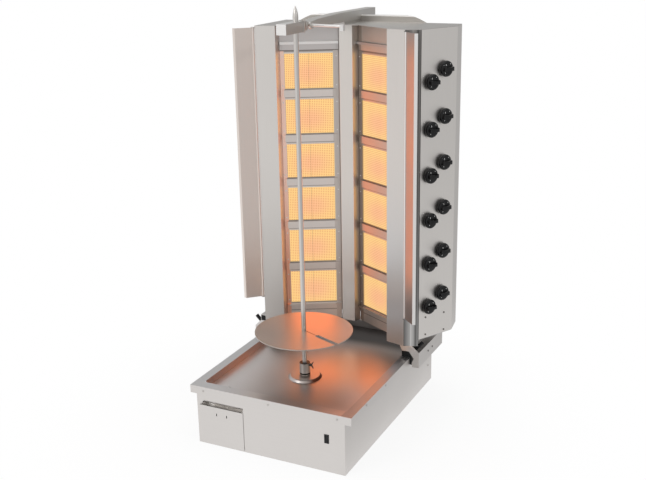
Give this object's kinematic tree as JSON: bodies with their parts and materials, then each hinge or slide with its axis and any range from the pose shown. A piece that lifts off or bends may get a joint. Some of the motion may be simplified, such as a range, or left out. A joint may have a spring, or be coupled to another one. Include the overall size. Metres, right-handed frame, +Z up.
{
  "type": "gas doner kebab grill",
  "caption": "Upright gas grill for doner meat: turning spit over a drip tray, ceramic burners on two angled walls, side wings and a row of gas knobs.",
  "frame": {"origin": "on the floor under the spit's axis, in the plane of the base's underside", "axes": "+Z up along the spit, -Y to the front with the drawer and switch, +X to the right where the gas knobs are"},
  "size_m": [0.7117, 0.8014, 1.352],
  "materials": {
    "satin_steel": "satin brushed stainless sheet",
    "panel_steel": "satin brushed stainless sheet, duller",
    "bright_steel": "polished stainless bar",
    "dark_steel": "mill finish steel",
    "heated_steel": "stainless that takes the glow of the burners",
    "glowing_ceramic": "perforated ceramic, glowing",
    "black_plastic": "black plastic",
    "gloss_black": "glossy black plastic",
    "motor_paint": "grey paint",
    "brass": "turned brass",
    "screw_steel": "zinc plated screws"
  },
  "bodies": {
    "base": {"base_case": "satin_steel", "grease_tray": "satin_steel", "base_screws": "screw_steel", "drawer_guides": "dark_steel", "rocker_bezel": "black_plastic", "gear_motor": "motor_paint", "cable_gland": "black_plastic"},
    "drawer": {"drawer_front": "satin_steel", "drawer_bin": "dark_steel"},
    "rocker_body": {"rocker": "gloss_black"},
    "spindle": {"drive_spindle": "bright_steel"},
    "spit": {"spit_shaft": "bright_steel", "spit_disc": "bright_steel"},
    "wing_screw": {"socket_screw": "screw_steel"},
    "burner_unit": {"burner_wall_left": "heated_steel", "burner_wall_right": "heated_steel", "burner_tiles": "glowing_ceramic", "burner_boxes": "dark_steel", "cabinet_left": "satin_steel", "cabinet_right": "satin_steel", "control_panel": "panel_steel", "centre_post": "satin_steel", "top_cover": "satin_steel", "carriage_left": "satin_steel", "carriage_right": "satin_steel", "glide_pads": "black_plastic", "gas_manifold": "brass", "gas_taps": "brass", "case_screws": "screw_steel"},
    "arm": {"top_arm": "dark_steel", "bearing_block": "dark_steel"},
    "clamp": {"clamp_handle": "bright_steel"},
    "wing_left_body": {"wing_left": "satin_steel"},
    "lever_left": {"lock_lever_left": "black_plastic"},
    "wing_right_body": {"wing_right": "satin_steel"},
    "lever_right": {"lock_lever_right": "black_plastic"},
    "tap_1": {"tap_stem_1": "brass"},
    "knob_1_body": {"knob_1": "gloss_black"},
    "tap_2": {"tap_stem_2": "brass"},
    "knob_2_body": {"knob_2": "gloss_black"},
    "tap_3": {"tap_stem_3": "brass"},
    "knob_3_body": {"knob_3": "gloss_black"},
    "tap_4": {"tap_stem_4": "brass"},
    "knob_4_body": {"knob_4": "gloss_black"},
    "tap_5": {"tap_stem_5": "brass"},
    "knob_5_body": {"knob_5": "gloss_black"},
    "tap_6": {"tap_stem_6": "brass"},
    "knob_6_body": {"knob_6": "gloss_black"},
    "tap_7": {"tap_stem_7": "brass"},
    "knob_7_body": {"knob_7": "gloss_black"},
    "tap_8": {"tap_stem_8": "brass"},
    "knob_8_body": {"knob_8": "gloss_black"},
    "tap_9": {"tap_stem_9": "brass"},
    "knob_9_body": {"knob_9": "gloss_black"},
    "tap_10": {"tap_stem_10": "brass"},
    "knob_10_body": {"knob_10": "gloss_black"},
    "tap_11": {"tap_stem_11": "brass"},
    "knob_11_body": {"knob_11": "gloss_black"},
    "tap_12": {"tap_stem_12": "brass"},
    "knob_12_body": {"knob_12": "gloss_black"}
  },
  "joints": [
    {"name": "unit_slide", "type": "slide", "parent": "base", "child": "burner_unit", "axis": [0, 1, 0], "range_m": [-0.15, 0]},
    {"name": "arm_slide", "type": "slide", "parent": "burner_unit", "child": "arm", "axis": [0, 1, 0], "range_m": [0, 0.15]},
    {"name": "clamp_turn", "type": "hinge", "parent": "arm", "child": "clamp", "pos_m": [0.01677, 0.06619, 1.291], "axis": [0.9863, -0.165, 0], "range_deg": [-90, 45]},
    {"name": "spindle_turn", "type": "hinge", "parent": "base", "child": "spindle", "pos_m": [0, 0, 0.14], "axis": [0, 0, 1], "continuous": true},
    {"name": "spit_lift", "type": "slide", "parent": "spindle", "child": "spit", "axis": [0, 0, 1], "range_m": [0, 0.04]},
    {"name": "screw_turn", "type": "hinge", "parent": "spindle", "child": "wing_screw", "pos_m": [0.0175, 0, 0.215], "axis": [1, 0, 0], "continuous": true},
    {"name": "drawer_slide", "type": "slide", "parent": "base", "child": "drawer", "axis": [0, -1, 0], "range_m": [0, 0.28]},
    {"name": "rocker_tilt", "type": "hinge", "parent": "base", "child": "rocker_body", "pos_m": [0.1975, -0.2448, 0.1105], "axis": [1, 0, 0], "range_deg": [0, 7.5]},
    {"name": "wing_left_swing", "type": "hinge", "parent": "burner_unit", "child": "wing_left_body", "pos_m": [-0.26493, 0.20469, 0.802], "axis": [0, 0, 1], "range_deg": [-45, 60]},
    {"name": "lever_left_turn", "type": "hinge", "parent": "burner_unit", "child": "lever_left", "pos_m": [-0.287, 0.241, 0.2235], "axis": [-1, 0, 0], "range_deg": [0, 70]},
    {"name": "wing_right_swing", "type": "hinge", "parent": "burner_unit", "child": "wing_right_body", "pos_m": [0.26493, 0.20469, 0.802], "axis": [0, 0, 1], "range_deg": [-60, 45]},
    {"name": "lever_right_turn", "type": "hinge", "parent": "burner_unit", "child": "lever_right", "pos_m": [0.287, 0.241, 0.2235], "axis": [-1, 0, 0], "range_deg": [0, 70]},
    {"name": "tap_1_turn", "type": "hinge", "parent": "burner_unit", "child": "tap_1", "pos_m": [0.35025, 0.31013, 1.145], "axis": [0.8788, -0.4772, 0], "range_deg": [-90, 90]},
    {"name": "knob_1_push", "type": "slide", "parent": "tap_1", "child": "knob_1_body", "axis": [-0.8788, 0.4772, 0], "range_m": [0, 0.003], "stiffness_N_per_m": 500, "springref_m": -0.003},
    {"name": "tap_2_turn", "type": "hinge", "parent": "burner_unit", "child": "tap_2", "pos_m": [0.32353, 0.26091, 1.109], "axis": [0.8788, -0.4772, 0], "range_deg": [-90, 90]},
    {"name": "knob_2_push", "type": "slide", "parent": "tap_2", "child": "knob_2_body", "axis": [-0.8788, 0.4772, 0], "range_m": [0, 0.003], "stiffness_N_per_m": 500, "springref_m": -0.003},
    {"name": "tap_3_turn", "type": "hinge", "parent": "burner_unit", "child": "tap_3", "pos_m": [0.35025, 0.31013, 0.9978], "axis": [0.8788, -0.4772, 0], "range_deg": [-90, 90]},
    {"name": "knob_3_push", "type": "slide", "parent": "tap_3", "child": "knob_3_body", "axis": [-0.8788, 0.4772, 0], "range_m": [0, 0.003], "stiffness_N_per_m": 500, "springref_m": -0.003},
    {"name": "tap_4_turn", "type": "hinge", "parent": "burner_unit", "child": "tap_4", "pos_m": [0.32353, 0.26091, 0.9618], "axis": [0.8788, -0.4772, 0], "range_deg": [-90, 90]},
    {"name": "knob_4_push", "type": "slide", "parent": "tap_4", "child": "knob_4_body", "axis": [-0.8788, 0.4772, 0], "range_m": [0, 0.003], "stiffness_N_per_m": 500, "springref_m": -0.003},
    {"name": "tap_5_turn", "type": "hinge", "parent": "burner_unit", "child": "tap_5", "pos_m": [0.35025, 0.31013, 0.8506], "axis": [0.8788, -0.4772, 0], "range_deg": [-90, 90]},
    {"name": "knob_5_push", "type": "slide", "parent": "tap_5", "child": "knob_5_body", "axis": [-0.8788, 0.4772, 0], "range_m": [0, 0.003], "stiffness_N_per_m": 500, "springref_m": -0.003},
    {"name": "tap_6_turn", "type": "hinge", "parent": "burner_unit", "child": "tap_6", "pos_m": [0.32353, 0.26091, 0.8146], "axis": [0.8788, -0.4772, 0], "range_deg": [-90, 90]},
    {"name": "knob_6_push", "type": "slide", "parent": "tap_6", "child": "knob_6_body", "axis": [-0.8788, 0.4772, 0], "range_m": [0, 0.003], "stiffness_N_per_m": 500, "springref_m": -0.003},
    {"name": "tap_7_turn", "type": "hinge", "parent": "burner_unit", "child": "tap_7", "pos_m": [0.35025, 0.31013, 0.7034], "axis": [0.8788, -0.4772, 0], "range_deg": [-90, 90]},
    {"name": "knob_7_push", "type": "slide", "parent": "tap_7", "child": "knob_7_body", "axis": [-0.8788, 0.4772, 0], "range_m": [0, 0.003], "stiffness_N_per_m": 500, "springref_m": -0.003},
    {"name": "tap_8_turn", "type": "hinge", "parent": "burner_unit", "child": "tap_8", "pos_m": [0.32353, 0.26091, 0.6674], "axis": [0.8788, -0.4772, 0], "range_deg": [-90, 90]},
    {"name": "knob_8_push", "type": "slide", "parent": "tap_8", "child": "knob_8_body", "axis": [-0.8788, 0.4772, 0], "range_m": [0, 0.003], "stiffness_N_per_m": 500, "springref_m": -0.003},
    {"name": "tap_9_turn", "type": "hinge", "parent": "burner_unit", "child": "tap_9", "pos_m": [0.35025, 0.31013, 0.5562], "axis": [0.8788, -0.4772, 0], "range_deg": [-90, 90]},
    {"name": "knob_9_push", "type": "slide", "parent": "tap_9", "child": "knob_9_body", "axis": [-0.8788, 0.4772, 0], "range_m": [0, 0.003], "stiffness_N_per_m": 500, "springref_m": -0.003},
    {"name": "tap_10_turn", "type": "hinge", "parent": "burner_unit", "child": "tap_10", "pos_m": [0.32353, 0.26091, 0.5202], "axis": [0.8788, -0.4772, 0], "range_deg": [-90, 90]},
    {"name": "knob_10_push", "type": "slide", "parent": "tap_10", "child": "knob_10_body", "axis": [-0.8788, 0.4772, 0], "range_m": [0, 0.003], "stiffness_N_per_m": 500, "springref_m": -0.003},
    {"name": "tap_11_turn", "type": "hinge", "parent": "burner_unit", "child": "tap_11", "pos_m": [0.35025, 0.31013, 0.409], "axis": [0.8788, -0.4772, 0], "range_deg": [-90, 90]},
    {"name": "knob_11_push", "type": "slide", "parent": "tap_11", "child": "knob_11_body", "axis": [-0.8788, 0.4772, 0], "range_m": [0, 0.003], "stiffness_N_per_m": 500, "springref_m": -0.003},
    {"name": "tap_12_turn", "type": "hinge", "parent": "burner_unit", "child": "tap_12", "pos_m": [0.32353, 0.26091, 0.373], "axis": [0.8788, -0.4772, 0], "range_deg": [-90, 90]},
    {"name": "knob_12_push", "type": "slide", "parent": "tap_12", "child": "knob_12_body", "axis": [-0.8788, 0.4772, 0], "range_m": [0, 0.003], "stiffness_N_per_m": 500, "springref_m": -0.003}
  ],
  "couplings": [
    {"joint": "arm_slide", "follows": "unit_slide", "ratio": -1}
  ]
}
